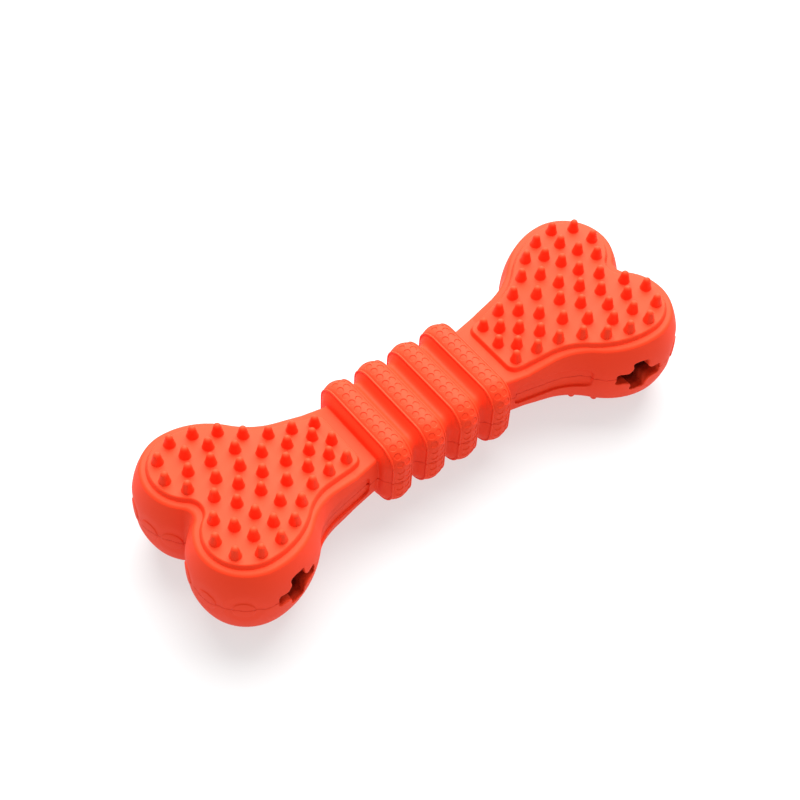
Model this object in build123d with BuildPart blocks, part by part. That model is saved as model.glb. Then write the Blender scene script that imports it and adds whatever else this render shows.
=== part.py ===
"""Bone-shaped rubber chew toy: two moulded halves cemented at mid height, with a nubbed pad on each head."""
import os
from math import atan2, cos, degrees, radians, sin, sqrt, tan

from build123d import *

# Plan view, in millimetres. The origin is the toy's centre, on the seam between the halves.
# Flanks and flares are shares of the length from the neck's start to the middle of the lobes.
overall_length = 180.8
lobe_radius = 17.8
lobe_spread = 14.0
flank_share = 0.556
flare_share = 0.453
cleft_radius = 2.0
cleft_flats = 2
neck_length = 24.0
neck_half_width = 13.5
neck_taper = 11.0

# Side view: the sides bulge to the seam, and the deck rises from the flat neck to the ends.
bulge_radius = 32.0
bulge_bands = 2
neck_height = 7.7
deck_height = 13.8
deck_start_x = 33.3
deck_crest_x = 88.6
deck_flats = 4

# Cement film in the seam.
bond_thickness = 0.2

# Tyre-like ribs round the waist: crowned crests with sloping walls, and a core that fills the grooves.
rib_count = 4
rib_pitch = 12.78
rib_half_width = 18.0
rib_half_height = 12.0
rib_corner_radius = 6.5
rib_corner_flats = 4
crest_width = 6.9
crest_rise = 1.2
crest_facets = 2
rib_wall_slope = 1.28
rib_foot_depth = 4.5
groove_depth = 2.7

# Treat chamber in each head, and the cross-shaped slots that lead into it through both flanks.
# Their places are counted from the middle of the lobes towards the waist.
chamber_wall = 7.0
chamber_half_height = 7.4
chamber_reach = 18.6
slot_setback = 6.4
slot_length = 14.8
slot_height = 13.0
slot_upright_width = 5.2
slot_level_width = 4.6
slot_corner_bevel = 1.6

# Raised pads on the decks.
pad_thickness = 1.55
pad_start_x = 29.4
pad_half_width = 10.1
pad_taper = 10.5
pad_lobe_radius = 12.0
pad_flank_share = 0.625
pad_flare_share = 0.51
pad_cleft_radius = 6.4
pad_corner_radius = 2.0

# Nubs: tapered pegs, in a row along the pad's edge, in rows along its middle, and five more by each lobe.
nub_sides = 6
nub_base_radius = 2.1
nub_taper = 11.0
nub_height = 4.2
nub_root = 0.6
nub_edge_gap = 2.8
rim_inset = 2.65
rim_count = 10
rim_cleft_gap = 7.2
middle_row_count = 6
middle_row_overrun = 1.0
second_row_half_widths = (4.2, 5.2, 6.3, 5.3, 5.3)
lobe_nubs = ((-13.8, -2.6), (-7.9, 2.5), (-0.5, 3.4), (-5.3, -2.8), (2.1, -2.3))

half_width = lobe_spread + lobe_radius
lobe_x = overall_length / 2 - lobe_radius
head_end_x = overall_length / 2
slot_x = lobe_x - slot_setback
head_length = lobe_x - neck_length
pad_length = lobe_x - pad_start_x
deck_rise = deck_height - neck_height
deck_radius = ((deck_crest_x - deck_start_x) ** 2 + deck_rise**2) / (2 * deck_rise)


def head_outline(start_x, start_half_width, taper, lobe, flank, flare, cleft, inset):
    """Draw a quarter of an outline, from the neck round one lobe to the cleft, moved inwards by inset."""
    along = Vector(cos(radians(taper)), sin(radians(taper)))
    across = Vector(-along.Y, along.X)
    start = Vector(start_x, start_half_width - inset / along.X)
    lobe_centre = Vector(lobe_x, lobe_spread)
    flank_centre = Vector(lobe_x, lobe_spread + lobe - flank)
    lobe_r = lobe - inset
    flank_r = flank - inset
    flare_r = flare + inset
    cleft_r = cleft + inset
    # The flare touches the tapering neck and the flank.
    foot = start + across * flare_r - flank_centre
    slide = foot.dot(along)
    run = -slide - sqrt(slide**2 - foot.dot(foot) + (flank_r + flare_r) ** 2)
    neck_end = start + along * run
    flare_centre = neck_end + across * flare_r
    flank_start = flank_centre + (flare_centre - flank_centre).normalized() * flank_r
    lobe_top = lobe_centre + Vector(0, lobe_r)
    # The cleft is a hollow arc, in flats, that touches both lobes.
    cleft_centre = Vector(lobe_x + sqrt((lobe_r + cleft_r) ** 2 - lobe_spread**2), 0)
    lobe_end = lobe_centre + (cleft_centre - lobe_centre).normalized() * lobe_r
    Line(start, neck_end)
    flare_arc = TangentArc(neck_end, flank_start, tangent=along)
    TangentArc(flank_start, lobe_top, tangent=flare_arc % 1)
    TangentArc(lobe_top, lobe_end, tangent=(1, 0))
    cleft_angle = degrees(atan2(lobe_spread, cleft_centre.X - lobe_x)) / cleft_flats
    Polyline(*[cleft_centre - Vector(cleft_r, 0).rotate(Axis.Z, -step * cleft_angle)
               for step in range(cleft_flats, -1, -1)])
    return start


def bone_face(inset=0.0):
    """Draw the whole bone in plan, moved inwards by inset."""
    with BuildSketch(Plane.XY) as bone:
        with BuildLine():
            neck = head_outline(neck_length, neck_half_width, neck_taper, lobe_radius, flank_share * head_length,
                                flare_share * head_length, cleft_radius, inset)
            Line((0, neck.Y), neck)
            mirror(about=Plane.YZ)
            mirror(about=Plane.XZ)
        make_face()
    return bone.sketch


def pad_outline(start_x, inset=0.0):
    """Draw half of a pad's outline, from start_x to its cleft, moved inwards by inset."""
    start_half_width = pad_half_width + (start_x - pad_start_x) * tan(radians(pad_taper))
    return head_outline(start_x, start_half_width, pad_taper, pad_lobe_radius, pad_flank_share * pad_length,
                        pad_flare_share * pad_length, pad_cleft_radius, inset)


def deck_z(x):
    """Height of the deck over the seam: level along the neck, then a hollow arc that rises to the crest."""
    if x < deck_start_x:
        return neck_height
    return deck_height - deck_radius + sqrt(deck_radius**2 - (x - deck_crest_x) ** 2)


def deck_points(lift=0.0):
    """Side view of the deck from mid length to the head's end, with its arc in flats, raised by lift."""
    flat = (head_end_x - deck_start_x) / deck_flats
    places = [0] + [deck_start_x + index * flat for index in range(deck_flats + 1)]
    return [(x, deck_z(x) + lift) for x in places]


def bulge_inset(z):
    """How far the bulging side has drawn in at height z."""
    return bulge_radius - sqrt(bulge_radius**2 - z**2)


def rib_face(rise):
    """Draw a section across the ribs, with its corners in flats, moved outwards by rise from the crest's edge."""
    radius = rib_corner_radius + rise
    corners = []
    for index, (side_y, side_z) in enumerate([(1, 1), (-1, 1), (-1, -1), (1, -1)]):
        middle_y = side_y * (rib_half_width - rib_corner_radius)
        middle_z = side_z * (rib_half_height - rib_corner_radius)
        for step in range(rib_corner_flats + 1):
            turn = radians(90 * (index + step / rib_corner_flats))
            corners.append((middle_y + radius * cos(turn), middle_z + radius * sin(turn)))
    Polygon(*corners, align=None)


# Where the sections of a rib lie along the toy, and how far each stands out from the crest's edge.
foot_reach = crest_width / 2 + rib_foot_depth / rib_wall_slope
rib_sections = [(-foot_reach, -rib_foot_depth)]
for index in range(crest_facets + 1):
    place = 2 * index / crest_facets - 1
    rib_sections.append((place * crest_width / 2, crest_rise * (1 - place**2)))
rib_sections.append((foot_reach, -rib_foot_depth))
rib_places = [(index - (rib_count - 1) / 2) * rib_pitch for index in range(rib_count)]
slot_places = [(-slot_x, 0, 0), (slot_x, 0, 0)]

# What is hollow: the chambers, and the cross-shaped slot that is cut straight through each head.
with BuildPart() as chambers:
    with BuildSketch():
        add(bone_face(chamber_wall))
        Rectangle(2 * (lobe_x - chamber_reach), 2 * half_width, mode=Mode.SUBTRACT)
    extrude(amount=chamber_half_height, both=True)

with BuildPart() as slot:
    with BuildSketch(Plane.XZ) as slot_cross:
        Rectangle(slot_length, slot_level_width)
        Rectangle(slot_upright_width, slot_height)
        chamfer(slot_cross.vertices().sort_by_distance((0, 0, 0))[:4], slot_corner_bevel)
    extrude(amount=half_width, both=True)

# Upper half: the bulging bone under its deck, with half of every rib, open below.
with BuildPart() as upper_half:
    for index in range(bulge_bands + 1):
        level = index * deck_height / bulge_bands
        with BuildSketch(Plane.XY.offset(level)):
            add(bone_face(bulge_inset(level)))
    loft(ruled=True)
    with BuildSketch(Plane.XZ):
        with BuildLine():
            Polyline(*deck_points(), (head_end_x, 0), (0, 0))
            mirror(about=Plane.YZ)
        make_face()
    extrude(amount=half_width, both=True, mode=Mode.INTERSECT)
    with BuildSketch(Plane.YZ.offset(rib_places[0])):
        rib_face(-groove_depth)
    extrude(amount=rib_places[-1] - rib_places[0])
    for x in rib_places:
        for shift, rise in rib_sections:
            with BuildSketch(Plane.YZ.offset(x + shift)):
                rib_face(rise)
        loft(ruled=True)
    add(chambers.part, mode=Mode.SUBTRACT)
    with Locations(*slot_places):
        add(slot.part, mode=Mode.SUBTRACT)
    split(bisect_by=Plane.XY.offset(bond_thickness / 2), keep=Keep.TOP)

with BuildPart() as lower_half:
    add(upper_half.part)
    mirror(about=Plane.XY, mode=Mode.REPLACE)

# Cement film between the halves. The slots part it in three: one round each end and one along the middle.
with BuildPart() as seam_film:
    with BuildSketch():
        add(bone_face())
        for x in rib_places:
            front = [(x + shift, -rib_half_width - rise) for shift, rise in rib_sections]
            back = [(x - shift, rib_half_width + rise) for shift, rise in rib_sections]
            Polygon(*front, *back, align=None)
        Rectangle(rib_places[-1] - rib_places[0], 2 * (rib_half_width - groove_depth))
    extrude(amount=bond_thickness / 2, both=True)
    add(chambers.part, mode=Mode.SUBTRACT)
    with Locations(*slot_places):
        add(slot.part, mode=Mode.SUBTRACT)

left_film, middle_film, right_film = seam_film.solids().sort_by(Axis.X)

with BuildPart() as left_seam_bond:
    add(left_film)

with BuildPart() as middle_seam_bond:
    add(middle_film)

with BuildPart() as right_seam_bond:
    add(right_film)

# One nub, standing on the seam plane. It has few sides, because there are so many of them.
with BuildPart() as nub:
    with BuildSketch(Plane.XY.offset(-nub_root)):
        RegularPolygon(nub_base_radius, nub_sides)
    extrude(amount=nub_root + nub_height, taper=nub_taper)

# Where the nubs stand on the right-hand pad, in plan: along the rim, in the rows, and by the lobes.
row_start_x = pad_start_x + nub_edge_gap
row_pitch = (lobe_x + middle_row_overrun - row_start_x) / (middle_row_count - 1)
with BuildLine() as rim:
    pad_outline(row_start_x, rim_inset)
rim_wire = rim.wires()[0]
rim_pitch = (1 - rim_cleft_gap / rim_wire.length) / (rim_count - 1)
side_nubs = [rim_wire.position_at(index * rim_pitch) for index in range(rim_count)]
for index, nub_y in enumerate(second_row_half_widths):
    side_nubs.append(Vector(row_start_x + (index + 0.5) * row_pitch, nub_y))
side_nubs.extend([Vector(lobe_x + shift_x, lobe_spread + shift_y) for shift_x, shift_y in lobe_nubs])
nub_places = [(row_start_x + index * row_pitch, 0) for index in range(middle_row_count)]
for place in side_nubs:
    nub_places.extend([(place.X, place.Y), (place.X, -place.Y)])

# Right-hand upper pad, bedded on the deck. The other three are its mirror images.
with BuildPart() as upper_right_nub_pad:
    with BuildSketch():
        with BuildLine():
            pad_end = pad_outline(pad_start_x)
            Line((pad_start_x, 0), pad_end)
            mirror(about=Plane.XZ)
        pad_face = make_face()
        fillet(pad_face.vertices().group_by(Axis.X)[0], pad_corner_radius)
    extrude(amount=deck_height + 2 * pad_thickness)
    with BuildSketch(Plane.XZ):
        with BuildLine():
            Polyline(*deck_points(), *reversed(deck_points(pad_thickness)), close=True)
        make_face()
    extrude(amount=half_width, both=True, mode=Mode.INTERSECT)
    with Locations(*[(nub_x, nub_y, deck_z(nub_x) + pad_thickness) for nub_x, nub_y in nub_places]):
        add(nub.part)

with BuildPart() as upper_left_nub_pad:
    add(upper_right_nub_pad.part)
    mirror(about=Plane.YZ, mode=Mode.REPLACE)

with BuildPart() as lower_right_nub_pad:
    add(upper_right_nub_pad.part)
    mirror(about=Plane.XY, mode=Mode.REPLACE)

with BuildPart() as lower_left_nub_pad:
    add(upper_left_nub_pad.part)
    mirror(about=Plane.XY, mode=Mode.REPLACE)

pieces = {
    "upper_half": upper_half,
    "lower_half": lower_half,
    "left_seam_bond": left_seam_bond,
    "middle_seam_bond": middle_seam_bond,
    "right_seam_bond": right_seam_bond,
    "upper_right_nub_pad": upper_right_nub_pad,
    "upper_left_nub_pad": upper_left_nub_pad,
    "lower_right_nub_pad": lower_right_nub_pad,
    "lower_left_nub_pad": lower_left_nub_pad,
}
os.makedirs("parts", exist_ok=True)
for name, piece in pieces.items():
    piece.part.label = name
    export_step(piece.part, f"parts/{name}.step")
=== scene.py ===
"""Looks of the bone-shaped rubber chew toy: moulded shapes, rubber finish, studio light and camera.

Each moulded piece is described by a distance field in millimetres, in the CAD's frame: negative inside
the rubber, zero on its skin. The skin is drawn as a mesh, and stands for the plainer CAD solid of the
same piece.
"""
from math import atan2, cos, hypot, pi, radians, sin, sqrt, tan

import bmesh
import bpy
import numpy as np
from mathutils import Matrix, Vector


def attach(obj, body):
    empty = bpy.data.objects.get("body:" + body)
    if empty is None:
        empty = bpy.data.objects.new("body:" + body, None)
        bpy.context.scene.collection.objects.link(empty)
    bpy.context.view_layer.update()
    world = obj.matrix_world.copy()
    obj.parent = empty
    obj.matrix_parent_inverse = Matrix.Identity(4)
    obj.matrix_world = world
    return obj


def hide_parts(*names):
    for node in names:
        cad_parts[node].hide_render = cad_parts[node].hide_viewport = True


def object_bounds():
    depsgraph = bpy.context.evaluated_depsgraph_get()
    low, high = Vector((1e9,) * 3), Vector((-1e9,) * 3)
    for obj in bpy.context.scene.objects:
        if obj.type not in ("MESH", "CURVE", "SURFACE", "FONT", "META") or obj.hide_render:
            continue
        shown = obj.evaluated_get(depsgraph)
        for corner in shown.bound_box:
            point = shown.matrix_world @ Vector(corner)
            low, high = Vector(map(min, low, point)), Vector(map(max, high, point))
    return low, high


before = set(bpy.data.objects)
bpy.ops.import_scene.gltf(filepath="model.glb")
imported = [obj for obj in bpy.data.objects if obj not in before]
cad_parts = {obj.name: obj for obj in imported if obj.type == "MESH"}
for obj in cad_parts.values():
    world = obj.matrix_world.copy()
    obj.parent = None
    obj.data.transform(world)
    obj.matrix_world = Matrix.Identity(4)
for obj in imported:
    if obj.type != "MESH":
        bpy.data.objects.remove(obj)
cad_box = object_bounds()

MM_PER_METRE = 1000

# Plan view of the bone and of the pads, in millimetres. The clefts are tighter than the CAD's, as in the photo.
LOBE_X = 72.6
LOBE_SPREAD = 14.0
BONE = dict(start_x=24.0, half_width=13.5, taper=11.0, lobe=17.8, flank=27.0, flare=22.0, cleft=1.0)
PAD = dict(start_x=29.4, half_width=10.1, taper=10.5, lobe=12.0, flank=27.0, flare=22.0, cleft=5.6)
PAD_CORNER = 2.0

# Side view.
BULGE_RADIUS = 32.0
NECK_HEIGHT = 7.7
DECK_HEIGHT = 13.8
DECK_START_X = 33.3
DECK_CREST_X = 88.6
DECK_EDGE = 0.8
PAD_THICKNESS = 1.55
PAD_EDGE = 0.3
PAD_FILLET = 0.25
PAD_SLOPE = 0.65
PAD_FLANGE = 0.2
PAD_SINK = 0.1
PAD_BURIAL = 0.3

# Ribs round the waist, with a bead along both edges of each crest and two rows of dimples.
RIB_PITCH = 12.78
RIB_HALF_WIDTH = 18.0
RIB_HALF_HEIGHT = 12.0
RIB_CORNER = 6.5
CREST_WIDTH = 6.9
CREST_RISE = 1.2
WALL_SLOPE = 1.28
GROOVE_DEPTH = 2.7
GROOVE_FILLET = 1.2
NECK_FILLET = 0.5
CREST_EDGE = 0.3
BEAD_RADIUS = 0.34
BEAD_FILLET = 0.05
DIMPLE_RADIUS = 1.05
DIMPLE_DEPTH = 0.2
DIMPLE_EDGE = 0.1
DIMPLE_PITCH = 2.94
DIMPLE_ROW = 1.3

# Hollow heads with cross-shaped slots, discs over the seam, and a bare panel on each side of the necks.
CHAMBER_WALL = 7.0
CHAMBER_HALF_HEIGHT = 7.4
CHAMBER_START_X = 54.0
CHAMBER_CORNER = 3.0
SLOT_X = 66.2
SLOT_LENGTH = 14.8
SLOT_HEIGHT = 13.0
SLOT_UPRIGHT = 5.2
SLOT_LEVEL = 4.6
SLOT_CORNER = 0.9
SLOT_CROSS_FILLET = 2.0
SLOT_RAGGED = 0.16
SLOT_MOUTH = 0.8
SLOT_RIM = 0.35
DISC_RADIUS = 3.4
DISC_RELIEF = 0.25
DISC_EDGE = 0.2
DISC_MOAT = 3.5
FRONT_DISCS = (-20.0, 15.0, 53.0)
BACK_DISCS = (-37.0, -10.5, 18.0)
PANEL_START_X = 28.5
PANEL_END_X = 53.0
PANEL_HALF_HEIGHT = 4.2
PANEL_CORNER = 2.0
PANEL_DEPTH = 0.9
PANEL_EDGE = 0.2

# Seam: how far two crossed waves carry it up and down, and the share of that which is left along the waist.
SEAM_WAVE = 0.3
SEAM_CROSS_WAVE = 0.2
SEAM_CALM = 0.3
SEAM_LIVELY = 0.7
SEAM_CALM_X = 30
SEAM_LIVELY_X = 65
SEAM_ROUND = 0.12
BOND_THICKNESS = 0.2
BOND_INSET = 0.03

# Nubs: slimmer than the CAD's, and round.
NUB_BASE_RADIUS = 1.85
NUB_TIP_RADIUS = 1.2
NUB_HEIGHT = 4.2
NUB_FILLET = 0.1
NUB_ROOT = 0.8
RIM_INSET = 2.65
RIM_COUNT = 10
RIM_SAMPLES = 200
ROW_START_X = 32.2
ROW_COUNT = 6
ROW_END_X = 73.6
SECOND_ROW = (4.2, 5.2, 6.3, 5.3, 5.3)
LOBE_NUBS = ((58.8, 11.4), (64.7, 16.5), (72.1, 17.4), (67.3, 11.2), (74.7, 11.7))

# Fineness of the meshes: the grid's steps, and how often faces are split where the skin turns sharply.
# The first step divides the ribs' pitch, so that all the ribs come out alike.
BODY_STEP = RIB_PITCH / 24
PAD_STEP = 0.5
FILM_STEP = 0.2
SPLITS = 2
SHARP = 0.96

# Boxes that the grids fill: one half of the body, and the right-hand upper pad.
BODY_LOW = (-91.5, -33.0, -1.2)
BODY_HIGH = (91.5, 33.0, 15.5)
PAD_LOW = (28.0, -27.5, 5.5)
PAD_HIGH = (88.0, 27.5, 20.5)

# Limits that keep the sums steady: overlap of neighbouring arcs in radians, a length that counts as nothing,
# the least squared slope to divide by, and the longest move of a point towards the skin.
ARC_OVERLAP = 1e-4
TINY = 1e-9
LEAST_STEEP = 0.25
LONGEST_MOVE = 0.4
SKIN_DRAWS = 2

# Cement films: welding distance in metres, the angles in radians that count as flat and as a rim,
# and the rounds of splitting and of drawing in.
FILM_WELD = 1e-6
FILM_FLAT = 0.01
FILM_RIM = 0.5
FILM_SPLITS = 8
FILM_DRAWS = 4

# Rubber finish, and the painted shade in the chambers. The grain's depth is in metres.
SPECULAR = 0.3
SPECULAR_TINT = (1.0, 0.75, 0.6, 1)
MOTTLE_SCALE = 60
MOTTLE_DETAIL = 6
# Near-black colour painted deep in the chambers as shade.
CHAMBER_PAINTED_SHADE = (0.05, 0.0015, 0.001, 1)
ROUGHNESS_LOW = 0.58
ROUGHNESS_HIGH = 0.7
GRAIN_SCALE = 2500
GRAIN_DETAIL = 3
GRAIN_STRENGTH = 0.08
GRAIN_DEPTH = 0.0002

FLOOR_REACH = 3

DECK_RISE = DECK_HEIGHT - NECK_HEIGHT
DECK_RADIUS = ((DECK_CREST_X - DECK_START_X) ** 2 + DECK_RISE**2) / (2 * DECK_RISE)


def join(a, b, radius):
    """Field of two shapes together, with a fillet of that radius in the corner between them."""
    fillet = np.hypot(np.maximum(radius - a, 0), np.maximum(radius - b, 0))
    return np.maximum(radius, np.minimum(a, b)) - fillet


def keep(a, b, radius):
    """Field of what two shapes share, with their common edge rounded to that radius."""
    rounding = np.hypot(np.maximum(radius + a, 0), np.maximum(radius + b, 0))
    return np.minimum(-radius, np.maximum(a, b)) + rounding


def step_up(value, low, high):
    """Smooth rise from 0 at low to 1 at high."""
    share = np.clip((value - low) / (high - low), 0, 1)
    return share * share * (3 - 2 * share)


def rounded_box(u, v, half_u, half_v, radius):
    """Distance to a rounded rectangle about the origin."""
    du = np.abs(u) - half_u + radius
    dv = np.abs(v) - half_v + radius
    return np.hypot(np.maximum(du, 0), np.maximum(dv, 0)) + np.minimum(np.maximum(du, dv), 0) - radius


def waver(u, v, w):
    """Gentle unevenness between -1 and 1 from three crossed waves, as hand-trimmed rubber shows."""
    first = np.sin(1.9 * u + 0.7 * v + 1.3)
    second = np.sin(3.1 * v - 1.1 * w + 0.4)
    third = np.sin(2.3 * w + 1.7 * u + 2.9)
    return (first + second + third) / 3


def outline_parts(start_x, half_width, taper, lobe, flank, flare, cleft):
    """A quarter of a bone's outline in plan: the straight line of the neck, then arcs as far as the cleft.

    An arc is (centre, radius, bulges, middle angle, half angle), where bulges is -1 for a hollow arc.
    """
    along = Vector((cos(radians(taper)), sin(radians(taper))))
    across = Vector((-along.y, along.x))
    start = Vector((start_x, half_width))
    lobe_centre = Vector((LOBE_X, LOBE_SPREAD))
    flank_centre = Vector((LOBE_X, LOBE_SPREAD + lobe - flank))
    foot = start + across * flare - flank_centre
    slide = foot.dot(along)
    run = -slide - sqrt(slide**2 - foot.dot(foot) + (flank + flare) ** 2)
    neck_end = start + along * run
    flare_centre = neck_end + across * flare
    flank_start = flank_centre + (flare_centre - flank_centre).normalized() * flank
    cleft_centre = Vector((LOBE_X + sqrt((lobe + cleft) ** 2 - LOBE_SPREAD**2), 0))
    lobe_end = lobe_centre + (cleft_centre - lobe_centre).normalized() * lobe
    arcs = []
    for centre, radius, bulges, first, last in (
        (flare_centre, flare, -1, neck_end, flank_start),
        (flank_centre, flank, 1, flank_start, lobe_centre + Vector((0, lobe))),
        (lobe_centre, lobe, 1, lobe_centre + Vector((0, lobe)), lobe_end),
        (cleft_centre, cleft, -1, lobe_end, cleft_centre - Vector((cleft, 0))),
    ):
        from_angle = atan2(*reversed(first - centre))
        turn = (atan2(*reversed(last - centre)) - from_angle + pi) % (2 * pi) - pi
        arcs.append((centre, radius, bulges, from_angle + turn / 2, abs(turn) / 2))
    return (start, neck_end, across), arcs


def outline_distance(x, y, parts):
    """Signed distance in plan from an outline."""
    y = np.abs(y)
    (start, end, across), arcs = parts
    length = (end - start).length
    along = (end - start) / length
    run = (x - start.x) * along.x + (y - start.y) * along.y
    off = (x - start.x) * across.x + (y - start.y) * across.y
    best = np.where(run < length, off, np.inf)
    for centre, radius, bulges, middle, half in arcs:
        dx = x - centre.x
        dy = y - centre.y
        turn = np.abs((np.arctan2(dy, dx) - middle + pi) % (2 * pi) - pi)
        gap = bulges * (np.hypot(dx, dy) - radius)
        best = np.where((turn <= half + ARC_OVERLAP) & (np.abs(gap) < np.abs(best)), gap, best)
    return best


def rim_places(parts):
    """Evenly spaced places for the nubs along a pad's edge, from its start to the cleft."""
    (start, end, across), arcs = parts
    points = [start - across * RIM_INSET + (end - start) * share for share in np.linspace(0, 1, RIM_SAMPLES)]
    for centre, radius, bulges, middle, half in arcs[:-1]:
        for angle in np.linspace(middle + bulges * half, middle - bulges * half, RIM_SAMPLES):
            points.append(centre + Vector((cos(angle), sin(angle))) * (radius - bulges * RIM_INSET))
    steps = [0.0]
    for before, after in zip(points, points[1:]):
        steps.append(steps[-1] + (after - before).length)
    places = np.linspace(0, steps[-1], RIM_COUNT)
    xs = np.interp(places, steps, [point.x for point in points])
    ys = np.interp(places, steps, [point.y for point in points])
    return list(zip(xs, ys))


def deck_height(x):
    """Height of the deck over the seam."""
    arc = DECK_HEIGHT - DECK_RADIUS + np.sqrt(DECK_RADIUS**2 - (x - DECK_CREST_X) ** 2)
    return np.where(x < DECK_START_X, NECK_HEIGHT, arc)


def seam_height(x, y):
    """The seam wanders from the middle plane, most of all round the lobes."""
    wander = SEAM_WAVE * np.sin(0.52 * x + 0.61 * y) + SEAM_CROSS_WAVE * np.sin(0.83 * x - 0.77 * y + 1.0)
    return wander * (SEAM_CALM + SEAM_LIVELY * step_up(np.abs(x), SEAM_CALM_X, SEAM_LIVELY_X))


BONE_PARTS = outline_parts(**BONE)
PAD_PARTS = outline_parts(**PAD)


def disc_moat(x, y, z):
    """Shallow dips round the discs, which stand level with the rest of the lobes."""
    dx = np.abs(x) - LOBE_X
    off = np.inf
    for side, angles in ((-1, FRONT_DISCS), (1, BACK_DISCS)):
        turn = np.where(side * y > 0, np.arctan2(side * y - LOBE_SPREAD, dx), pi)
        for angle in angles:
            off = np.minimum(off, np.hypot((turn - radians(angle)) * BONE["lobe"], z))
    rim = step_up(off, DISC_RADIUS - DISC_EDGE, DISC_RADIUS + DISC_EDGE)
    return DISC_RELIEF * (rim - step_up(off, DISC_RADIUS + DISC_EDGE, DISC_RADIUS + DISC_MOAT))


def bone_field(x, y, z):
    """The plain bone: bulging sides under the deck, with its discs and the bare panels on the necks."""
    ax = np.abs(x)
    side = outline_distance(ax, y, BONE_PARTS) + BULGE_RADIUS - np.sqrt(BULGE_RADIUS**2 - z**2)
    middle = (PANEL_START_X + PANEL_END_X) / 2
    panel = rounded_box(ax - middle, z, (PANEL_END_X - PANEL_START_X) / 2, PANEL_HALF_HEIGHT, PANEL_CORNER)
    side = side + disc_moat(x, y, z)
    side = keep(side, join(-panel, side + PANEL_DEPTH, PANEL_EDGE), PANEL_EDGE)
    return keep(side, np.abs(z) - deck_height(ax), DECK_EDGE)


def waist_field(x, y, z):
    """The ribs: crowned crests with beads and dimples, sloping walls, and the core in the grooves."""
    ax = np.abs(x)
    place = ax - np.where(ax < RIB_PITCH, 0.5, 1.5) * RIB_PITCH
    across = np.abs(place)
    ring = rounded_box(y, z, RIB_HALF_WIDTH, RIB_HALF_HEIGHT, RIB_CORNER)
    crown_radius = (CREST_WIDTH**2 / 4 + CREST_RISE**2) / (2 * CREST_RISE)
    crest = np.hypot(across, ring + crown_radius - CREST_RISE) - crown_radius
    # The dimples are counted along the crest from the middle of the top.
    flat = RIB_HALF_WIDTH - RIB_CORNER
    upright = RIB_HALF_HEIGHT - RIB_CORNER
    corner = np.arctan2(np.maximum(np.abs(y) - flat, 0), np.maximum(np.abs(z) - upright, TINY))
    girth = np.minimum(np.abs(y), flat) + (RIB_CORNER + CREST_RISE) * corner
    girth = girth + np.maximum(upright - np.abs(z), 0)
    nearest = np.abs((girth + DIMPLE_PITCH / 2) % DIMPLE_PITCH - DIMPLE_PITCH / 2)
    dimple = np.hypot(nearest, across - DIMPLE_ROW)
    crest = keep(crest, join(DIMPLE_RADIUS - dimple, crest + DIMPLE_DEPTH, DIMPLE_EDGE), DIMPLE_EDGE)
    wall = ((across - CREST_WIDTH / 2) * WALL_SLOPE + ring) / hypot(WALL_SLOPE, 1)
    bead = np.hypot(across - CREST_WIDTH / 2, ring) - BEAD_RADIUS
    rib = join(keep(crest, wall, CREST_EDGE), bead, BEAD_FILLET)
    core = np.maximum(ring + GROOVE_DEPTH, ax - 1.5 * RIB_PITCH)
    return join(rib, core, GROOVE_FILLET)


def hollow_field(x, y, z):
    """The chambers in the heads and the cross-shaped slots into them, with ragged rims."""
    ax = np.abs(x)
    chamber = keep(outline_distance(ax, y, BONE_PARTS) + CHAMBER_WALL, CHAMBER_START_X - ax, CHAMBER_CORNER)
    chamber = keep(chamber, np.abs(z) - CHAMBER_HALF_HEIGHT, CHAMBER_CORNER)
    level = rounded_box(ax - SLOT_X, z, SLOT_LENGTH / 2, SLOT_LEVEL / 2, SLOT_CORNER)
    upright = rounded_box(ax - SLOT_X, z, SLOT_UPRIGHT / 2, SLOT_HEIGHT / 2, SLOT_CORNER)
    slot = join(level, upright, SLOT_CROSS_FILLET) + SLOT_RAGGED * waver(x, y, z)
    return join(chamber, slot, SLOT_MOUTH)


def body_field(x, y, z):
    """The whole body of the toy without its pads."""
    body = join(bone_field(x, y, z), waist_field(x, y, z), NECK_FILLET)
    return keep(body, -hollow_field(x, y, z), SLOT_RIM)


def upper_field(x, y, z):
    """The half above the seam's cement."""
    return keep(body_field(x, y, z), seam_height(x, y) + BOND_THICKNESS / 2 - z, SEAM_ROUND)


def lower_field(x, y, z):
    """The half below the seam's cement, turned over."""
    return keep(body_field(x, y, -z), BOND_THICKNESS / 2 - seam_height(x, y) - z, SEAM_ROUND)


def nub_places():
    """Where the nubs stand on the right-hand pad, in plan."""
    pitch = (ROW_END_X - ROW_START_X) / (ROW_COUNT - 1)
    rim_start = PAD["half_width"] + (ROW_START_X - PAD["start_x"]) * tan(radians(PAD["taper"]))
    rim_parts = outline_parts(**{**PAD, "start_x": ROW_START_X, "half_width": rim_start})
    side = rim_places(rim_parts)
    side += [(ROW_START_X + (index + 0.5) * pitch, y) for index, y in enumerate(SECOND_ROW)]
    side += list(LOBE_NUBS)
    middle = [(ROW_START_X + index * pitch, 0.0) for index in range(ROW_COUNT)]
    return np.array(middle + side + [(x, -y) for x, y in side])


NUBS = nub_places()
NUB_BASES = deck_height(NUBS[:, 0]) + PAD_THICKNESS


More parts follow.
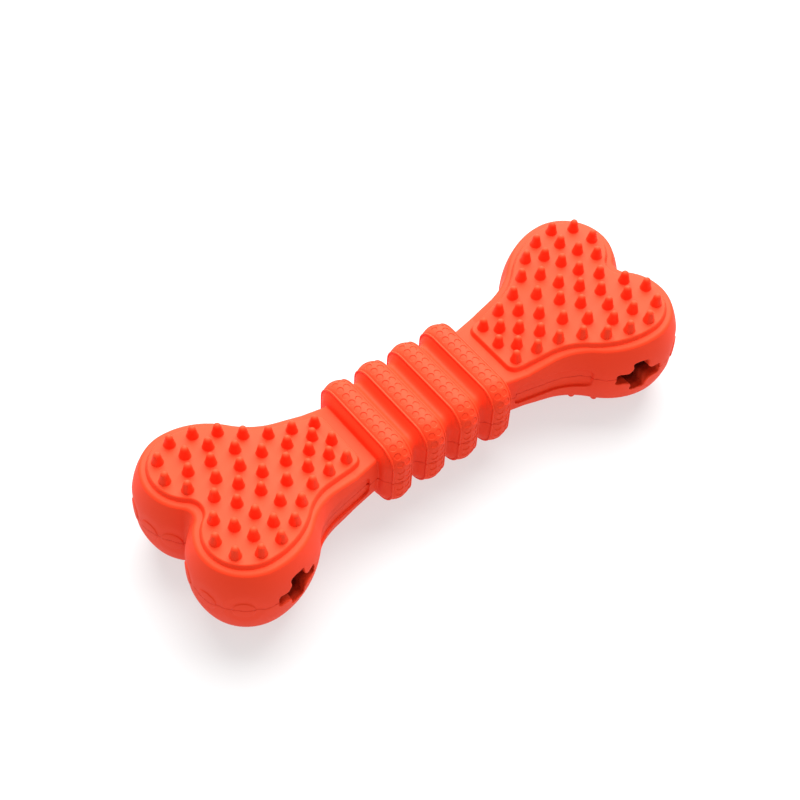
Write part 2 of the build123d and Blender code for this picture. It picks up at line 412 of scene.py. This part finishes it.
def pad_field(x, y, z):
    """A pad on the right-hand upper deck, with its nubs and a fillet round its foot."""
    rise = z - deck_height(x)
    edge = keep(outline_distance(x, y, PAD_PARTS), PAD["start_x"] - x, PAD_CORNER)
    edge = edge - PAD_SLOPE * np.clip(1 - rise / PAD_THICKNESS, 0, 1) - PAD_FLANGE
    slab = join(keep(edge, rise - PAD_THICKNESS, PAD_EDGE), rise + PAD_SINK, PAD_FILLET)
    slab = np.maximum(np.maximum(slab, edge - PAD_FILLET), -PAD_BURIAL - rise)
    # Every point belongs to its nearest nub, which is a cone with a domed tip.
    flat_x, flat_y = np.broadcast_arrays(x, y)
    gaps = np.hypot(flat_x[..., None] - NUBS[:, 0], flat_y[..., None] - NUBS[:, 1])
    nearest = gaps.argmin(-1)
    off = gaps.min(-1)
    up = z - NUB_BASES[nearest]
    lean = (NUB_BASE_RADIUS - NUB_TIP_RADIUS) / (NUB_HEIGHT - NUB_TIP_RADIUS)
    cone = (off - NUB_BASE_RADIUS + lean * up) / hypot(lean, 1)
    dome = np.hypot(off, up - NUB_HEIGHT + NUB_TIP_RADIUS) - NUB_TIP_RADIUS
    nub = np.where(up > NUB_HEIGHT - NUB_TIP_RADIUS + lean * off, dome, cone)
    return join(slab, np.maximum(nub, -NUB_ROOT - up), NUB_FILLET)


def skin(field, low, high, step):
    """Points and four-sided faces of the surface where a field is zero, found on a grid of that step."""
    axes = [np.arange(lo, hi + step, step, dtype=np.float32) for lo, hi in zip(low, high)]
    values = field(axes[0][:, None, None], axes[1][None, :, None], axes[2][None, None, :])
    values = np.broadcast_to(values, [len(axis) for axis in axes]).astype(np.float32)
    shape = np.array(values.shape)
    strides = np.array((shape[1] * shape[2], shape[2], 1))
    inside = values < 0
    cells = []
    spots = []
    quads = []
    for axis in range(3):
        ahead = [slice(None)] * 3
        behind = [slice(None)] * 3
        ahead[axis] = slice(1, None)
        behind[axis] = slice(None, -1)
        crossing = np.argwhere(inside[tuple(ahead)] != inside[tuple(behind)])
        others = [other for other in range(3) if other != axis]
        beside = crossing[:, others]
        crossing = crossing[(beside > 0).all(1) & (beside < shape[others] - 1).all(1)]
        here = crossing @ strides
        first = values.ravel()[here]
        last = values.ravel()[here + strides[axis]]
        spot = crossing.astype(np.float32)
        spot[:, axis] += first / (first - last)
        one, two = strides[others]
        around = [here - one * i - two * j for i, j in ((0, 0), (1, 0), (1, 1), (0, 1))]
        turned = (first < 0) == (axis != 1)
        quad = np.stack(around, 1)
        quads.append(np.where(turned[:, None], quad[:, ::-1], quad)[:, ::-1])
        for cell in around:
            cells.append(cell)
            spots.append(spot)
    used, index = np.unique(np.concatenate(cells), return_inverse=True)
    spots = np.concatenate(spots)
    count = np.bincount(index)
    points = np.stack([np.bincount(index, spots[:, axis]) / count for axis in range(3)], 1)
    points = points * step + np.array(low)
    return points, np.searchsorted(used, np.concatenate(quads))


def slope_of(field, points, reach=0.02):
    """Gradient of a field at points."""
    columns = []
    for axis in range(3):
        shift = np.zeros(3)
        shift[axis] = reach
        columns.append((field(*(points + shift).T) - field(*(points - shift).T)) / (2 * reach))
    return np.stack(columns, 1)


def drawn_on(field, points):
    """Points moved on to the zero of a field."""
    for _ in range(SKIN_DRAWS):
        slope = slope_of(field, points)
        steep = np.maximum((slope**2).sum(1, keepdims=True), LEAST_STEEP)
        points = points - np.clip(field(*points.T)[:, None] * slope / steep, -LONGEST_MOVE, LONGEST_MOVE)
    return points


def unit_normals(field, points):
    """Outward directions of a field's skin at points."""
    slope = slope_of(field, points)
    return slope / np.linalg.norm(slope, axis=1, keepdims=True)


def mesh_points(mesh):
    """Positions of a mesh's vertices as an array."""
    flat = np.empty(3 * len(mesh.vertices))
    mesh.vertices.foreach_get("co", flat)
    return flat.reshape(-1, 3)


def surface(name, field, low, high, step):
    """Mesh of a field's skin in millimetres, finer wherever the skin turns sharply."""
    points, quads = skin(field, low, high, step)
    mesh = bpy.data.meshes.new(name)
    mesh.from_pydata(drawn_on(field, points).tolist(), [], quads.tolist())
    for _ in range(SPLITS):
        normals = unit_normals(field, mesh_points(mesh))
        corners = np.empty(len(mesh.loops), dtype=np.int32)
        starts = np.empty(len(mesh.polygons), dtype=np.int32)
        counts = np.empty(len(mesh.polygons), dtype=np.int32)
        mesh.loops.foreach_get("vertex_index", corners)
        mesh.polygons.foreach_get("loop_start", starts)
        mesh.polygons.foreach_get("loop_total", counts)
        flat = np.empty(3 * len(mesh.polygons))
        mesh.polygons.foreach_get("normal", flat)
        match = (np.add.reduceat(normals[corners], starts) * flat.reshape(-1, 3)).sum(1) / counts
        shape = bmesh.new()
        shape.from_mesh(mesh)
        shape.faces.ensure_lookup_table()
        edges = {edge for index in np.flatnonzero(match < SHARP) for edge in shape.faces[index].edges}
        edges = sorted(edges, key=lambda edge: edge.index)
        bmesh.ops.subdivide_edges(shape, edges=edges, cuts=1, use_grid_fill=True)
        bmesh.ops.triangulate(shape, faces=[face for face in shape.faces if len(face.verts) > 4])
        shape.to_mesh(mesh)
        shape.free()
        mesh.vertices.foreach_set("co", drawn_on(field, mesh_points(mesh)).ravel())
    return mesh


def stand_in(mesh, node):
    """Object with that mesh, which stands for a CAD node."""
    piece = bpy.data.objects.new(mesh.name, mesh)
    bpy.context.scene.collection.objects.link(piece)
    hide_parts(node)
    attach(piece, "root")
    return piece


def moulded(node, field, mesh, flip=(1, 1, 1)):
    """Object with a copy of a skin, mirrored by flip, which stands for a CAD node."""
    points = mesh_points(mesh)
    copy = mesh.copy()
    copy.name = "moulded_" + node
    copy.vertices.foreach_set("co", (points * flip / MM_PER_METRE).ravel())
    if np.prod(flip) < 0:
        copy.flip_normals()
    copy.shade_smooth()
    copy.normals_split_custom_set_from_vertices(unit_normals(field, points) * flip)
    # How deep a point lies under the bone's outside, from 0 on the skin to 1 in the chambers: the share of
    # painted shade it gets.
    shade_depth = np.clip(-bone_field(*points.T) / CHAMBER_WALL, 0, 1)
    inside = copy.attributes.new("inside", "FLOAT", "POINT")
    inside.data.foreach_set("value", shade_depth.astype(np.float32))
    return stand_in(copy, node)


def cement(node):
    """Object for a film of cement: the CAD film, bent along the seam and drawn in from the rubber's skin."""
    film = bmesh.new()
    film.from_mesh(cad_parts[node].data)
    bmesh.ops.remove_doubles(film, verts=film.verts[:], dist=FILM_WELD)
    bmesh.ops.dissolve_limit(film, angle_limit=FILM_FLAT, verts=film.verts[:], edges=film.edges[:])
    longest = FILM_STEP / MM_PER_METRE
    for _ in range(FILM_SPLITS):
        rims = [edge for edge in film.edges
                if edge.calc_face_angle(0) > FILM_RIM and edge.calc_length() > longest]
        bmesh.ops.subdivide_edges(film, edges=rims, cuts=1)
    points = np.array([vertex.co for vertex in film.verts]) * MM_PER_METRE
    middle = points * (1, 1, 0)
    for _ in range(FILM_DRAWS):
        slope = slope_of(body_field, middle) * (1, 1, 0)
        steep = np.maximum((slope**2).sum(1, keepdims=True), LEAST_STEEP)
        middle = middle - (body_field(*middle.T) + BOND_INSET)[:, None] * slope / steep
    for vertex, point in zip(film.verts, middle):
        vertex.co.xy = point[:2] / MM_PER_METRE
    bmesh.ops.triangulate(film, faces=film.faces[:])
    for vertex, rise in zip(film.verts, seam_height(middle[:, 0], middle[:, 1])):
        vertex.co.z += rise / MM_PER_METRE
    mesh = bpy.data.meshes.new("wandering_" + node)
    film.to_mesh(mesh)
    film.free()
    return stand_in(mesh, node)


upper_skin = surface("upper_skin", upper_field, BODY_LOW, BODY_HIGH, BODY_STEP)
lower_skin = surface("lower_skin", lower_field, BODY_LOW, BODY_HIGH, BODY_STEP)
pad_skin = surface("pad_skin", pad_field, PAD_LOW, PAD_HIGH, PAD_STEP)
halves = [
    moulded("upper_half", upper_field, upper_skin),
    moulded("lower_half", lower_field, lower_skin, (1, 1, -1)),
]
pads = [
    moulded("upper_right_nub_pad", pad_field, pad_skin),
    moulded("upper_left_nub_pad", pad_field, pad_skin, (-1, 1, 1)),
    moulded("lower_right_nub_pad", pad_field, pad_skin, (1, 1, -1)),
    moulded("lower_left_nub_pad", pad_field, pad_skin, (-1, 1, -1)),
]
bonds = [cement(node) for node in ("left_seam_bond", "middle_seam_bond", "right_seam_bond")]


def rubber(name, colour, deep_colour):
    """Satin rubber: mottled colour, slightly uneven gloss, a fine matt grain, and painted shade towards the
    chambers.
    """
    material = bpy.data.materials.new(name)
    material.use_nodes = True
    nodes = material.node_tree.nodes
    links = material.node_tree.links
    shader = nodes["Principled BSDF"]
    shader.inputs["Specular IOR Level"].default_value = SPECULAR
    shader.inputs["Specular Tint"].default_value = SPECULAR_TINT
    place = nodes.new("ShaderNodeTexCoord")
    mottle = nodes.new("ShaderNodeTexNoise")
    mottle.inputs["Scale"].default_value = MOTTLE_SCALE
    mottle.inputs["Detail"].default_value = MOTTLE_DETAIL
    links.new(place.outputs["Object"], mottle.inputs["Vector"])
    tint = nodes.new("ShaderNodeMix")
    tint.data_type = "RGBA"
    tint.inputs["A"].default_value = (*deep_colour, 1)
    tint.inputs["B"].default_value = (*colour, 1)
    links.new(mottle.outputs["Fac"], tint.inputs["Factor"])
    # Painted shade: the rubber's colour is darkened towards the chambers, where little light gets in.
    inside = nodes.new("ShaderNodeAttribute")
    inside.attribute_name = "inside"
    shade = nodes.new("ShaderNodeMix")
    shade.data_type = "RGBA"
    shade.inputs["B"].default_value = CHAMBER_PAINTED_SHADE
    links.new(inside.outputs["Fac"], shade.inputs["Factor"])
    links.new(tint.outputs["Result"], shade.inputs["A"])
    links.new(shade.outputs["Result"], shader.inputs["Base Color"])
    gloss = nodes.new("ShaderNodeMapRange")
    gloss.inputs["To Min"].default_value = ROUGHNESS_LOW
    gloss.inputs["To Max"].default_value = ROUGHNESS_HIGH
    links.new(mottle.outputs["Fac"], gloss.inputs["Value"])
    links.new(gloss.outputs["Result"], shader.inputs["Roughness"])
    grain = nodes.new("ShaderNodeTexNoise")
    grain.inputs["Scale"].default_value = GRAIN_SCALE
    grain.inputs["Detail"].default_value = GRAIN_DETAIL
    links.new(place.outputs["Object"], grain.inputs["Vector"])
    bump = nodes.new("ShaderNodeBump")
    bump.inputs["Strength"].default_value = GRAIN_STRENGTH
    bump.inputs["Distance"].default_value = GRAIN_DEPTH
    links.new(grain.outputs["Fac"], bump.inputs["Height"])
    links.new(bump.outputs["Normal"], shader.inputs["Normal"])
    return material


body_rubber = rubber("body_rubber", (0.88, 0.044, 0.009), (0.83, 0.036, 0.007))
pad_rubber = rubber("pad_rubber", (0.90, 0.046, 0.010), (0.85, 0.038, 0.008))
seam_cement = rubber("seam_cement", (0.80, 0.030, 0.007), (0.70, 0.024, 0.006))
for piece in halves:
    piece.data.materials.append(body_rubber)
for piece in pads:
    piece.data.materials.append(pad_rubber)
for piece in bonds:
    piece.data.materials.append(seam_cement)

# Studio: a pale floor under the lowest nubs, which glows like a light table, a pale sky and one soft lamp.
floor_mesh = bpy.data.meshes.new("floor")
floor_z = cad_box[0][2]
floor_corners = [(FLOOR_REACH * x, FLOOR_REACH * y, floor_z) for x, y in ((-1, -1), (1, -1), (1, 1), (-1, 1))]
floor_mesh.from_pydata(floor_corners, [], [(0, 1, 2, 3)])
floor = bpy.data.objects.new("floor", floor_mesh)
bpy.context.scene.collection.objects.link(floor)
floor_paint = bpy.data.materials.new("floor")
floor_paint.use_nodes = True
floor_shader = floor_paint.node_tree.nodes["Principled BSDF"]
floor_shader.inputs["Base Color"].default_value = (0.25, 0.25, 0.25, 1)
floor_shader.inputs["Roughness"].default_value = 0.9
floor_shader.inputs["Emission Color"].default_value = (1.0, 1.0, 1.0, 1)
floor_shader.inputs["Emission Strength"].default_value = 0.6
floor_mesh.materials.append(floor_paint)

world = bpy.data.worlds.new("studio")
bpy.context.scene.world = world
world.use_nodes = True
world.node_tree.nodes["Background"].inputs["Color"].default_value = (1.0, 1.0, 1.0, 1)
world.node_tree.nodes["Background"].inputs["Strength"].default_value = 0.6
bpy.context.scene.view_settings.view_transform = "Standard"


def lamp(name, place, aim, size, power):
    """Square soft lamp at place, turned to aim."""
    light = bpy.data.lights.new(name, "AREA")
    light.size = size
    light.energy = power
    thing = bpy.data.objects.new(name, light)
    thing.location = place
    thing.rotation_euler = (Vector(aim) - Vector(place)).to_track_quat("-Z", "Y").to_euler()
    bpy.context.scene.collection.objects.link(thing)


lamp("key", place=(0.5, 0.57, 0.97), aim=(0, 0, 0), size=1.5, power=60)

# Camera: bearing, height and roll in degrees, distance in metres, and focal length in the photo's pixels.
BEARING = 40.812
HEIGHT = 51.664
ROLL = -3.894
DISTANCE = 0.525861
FOCAL = 1704.657
MIDDLE = (415.403, 410.277)
IMAGE = 800

ahead = Vector((sin(radians(BEARING)) * cos(radians(HEIGHT)), cos(radians(BEARING)) * cos(radians(HEIGHT)),
                -sin(radians(HEIGHT))))
level = Vector((cos(radians(BEARING)), -sin(radians(BEARING)), 0))
down = ahead.cross(level)
right = level * cos(radians(ROLL)) + down * sin(radians(ROLL))
down = down * cos(radians(ROLL)) - level * sin(radians(ROLL))
offset = Vector(((MIDDLE[0] - IMAGE / 2) / FOCAL, (MIDDLE[1] - IMAGE / 2) / FOCAL, 1)) * DISTANCE
eye = -(right * offset.x + down * offset.y + ahead * offset.z)
lens = bpy.data.cameras.new("camera")
lens.sensor_width = 36
lens.lens = FOCAL * lens.sensor_width / IMAGE
lens.clip_start = 0.01
camera = bpy.data.objects.new("camera", lens)
camera.matrix_world = Matrix.Translation(eye) @ Matrix((right, -down, -ahead)).transposed().to_4x4()
bpy.context.scene.collection.objects.link(camera)
bpy.context.scene.camera = camera
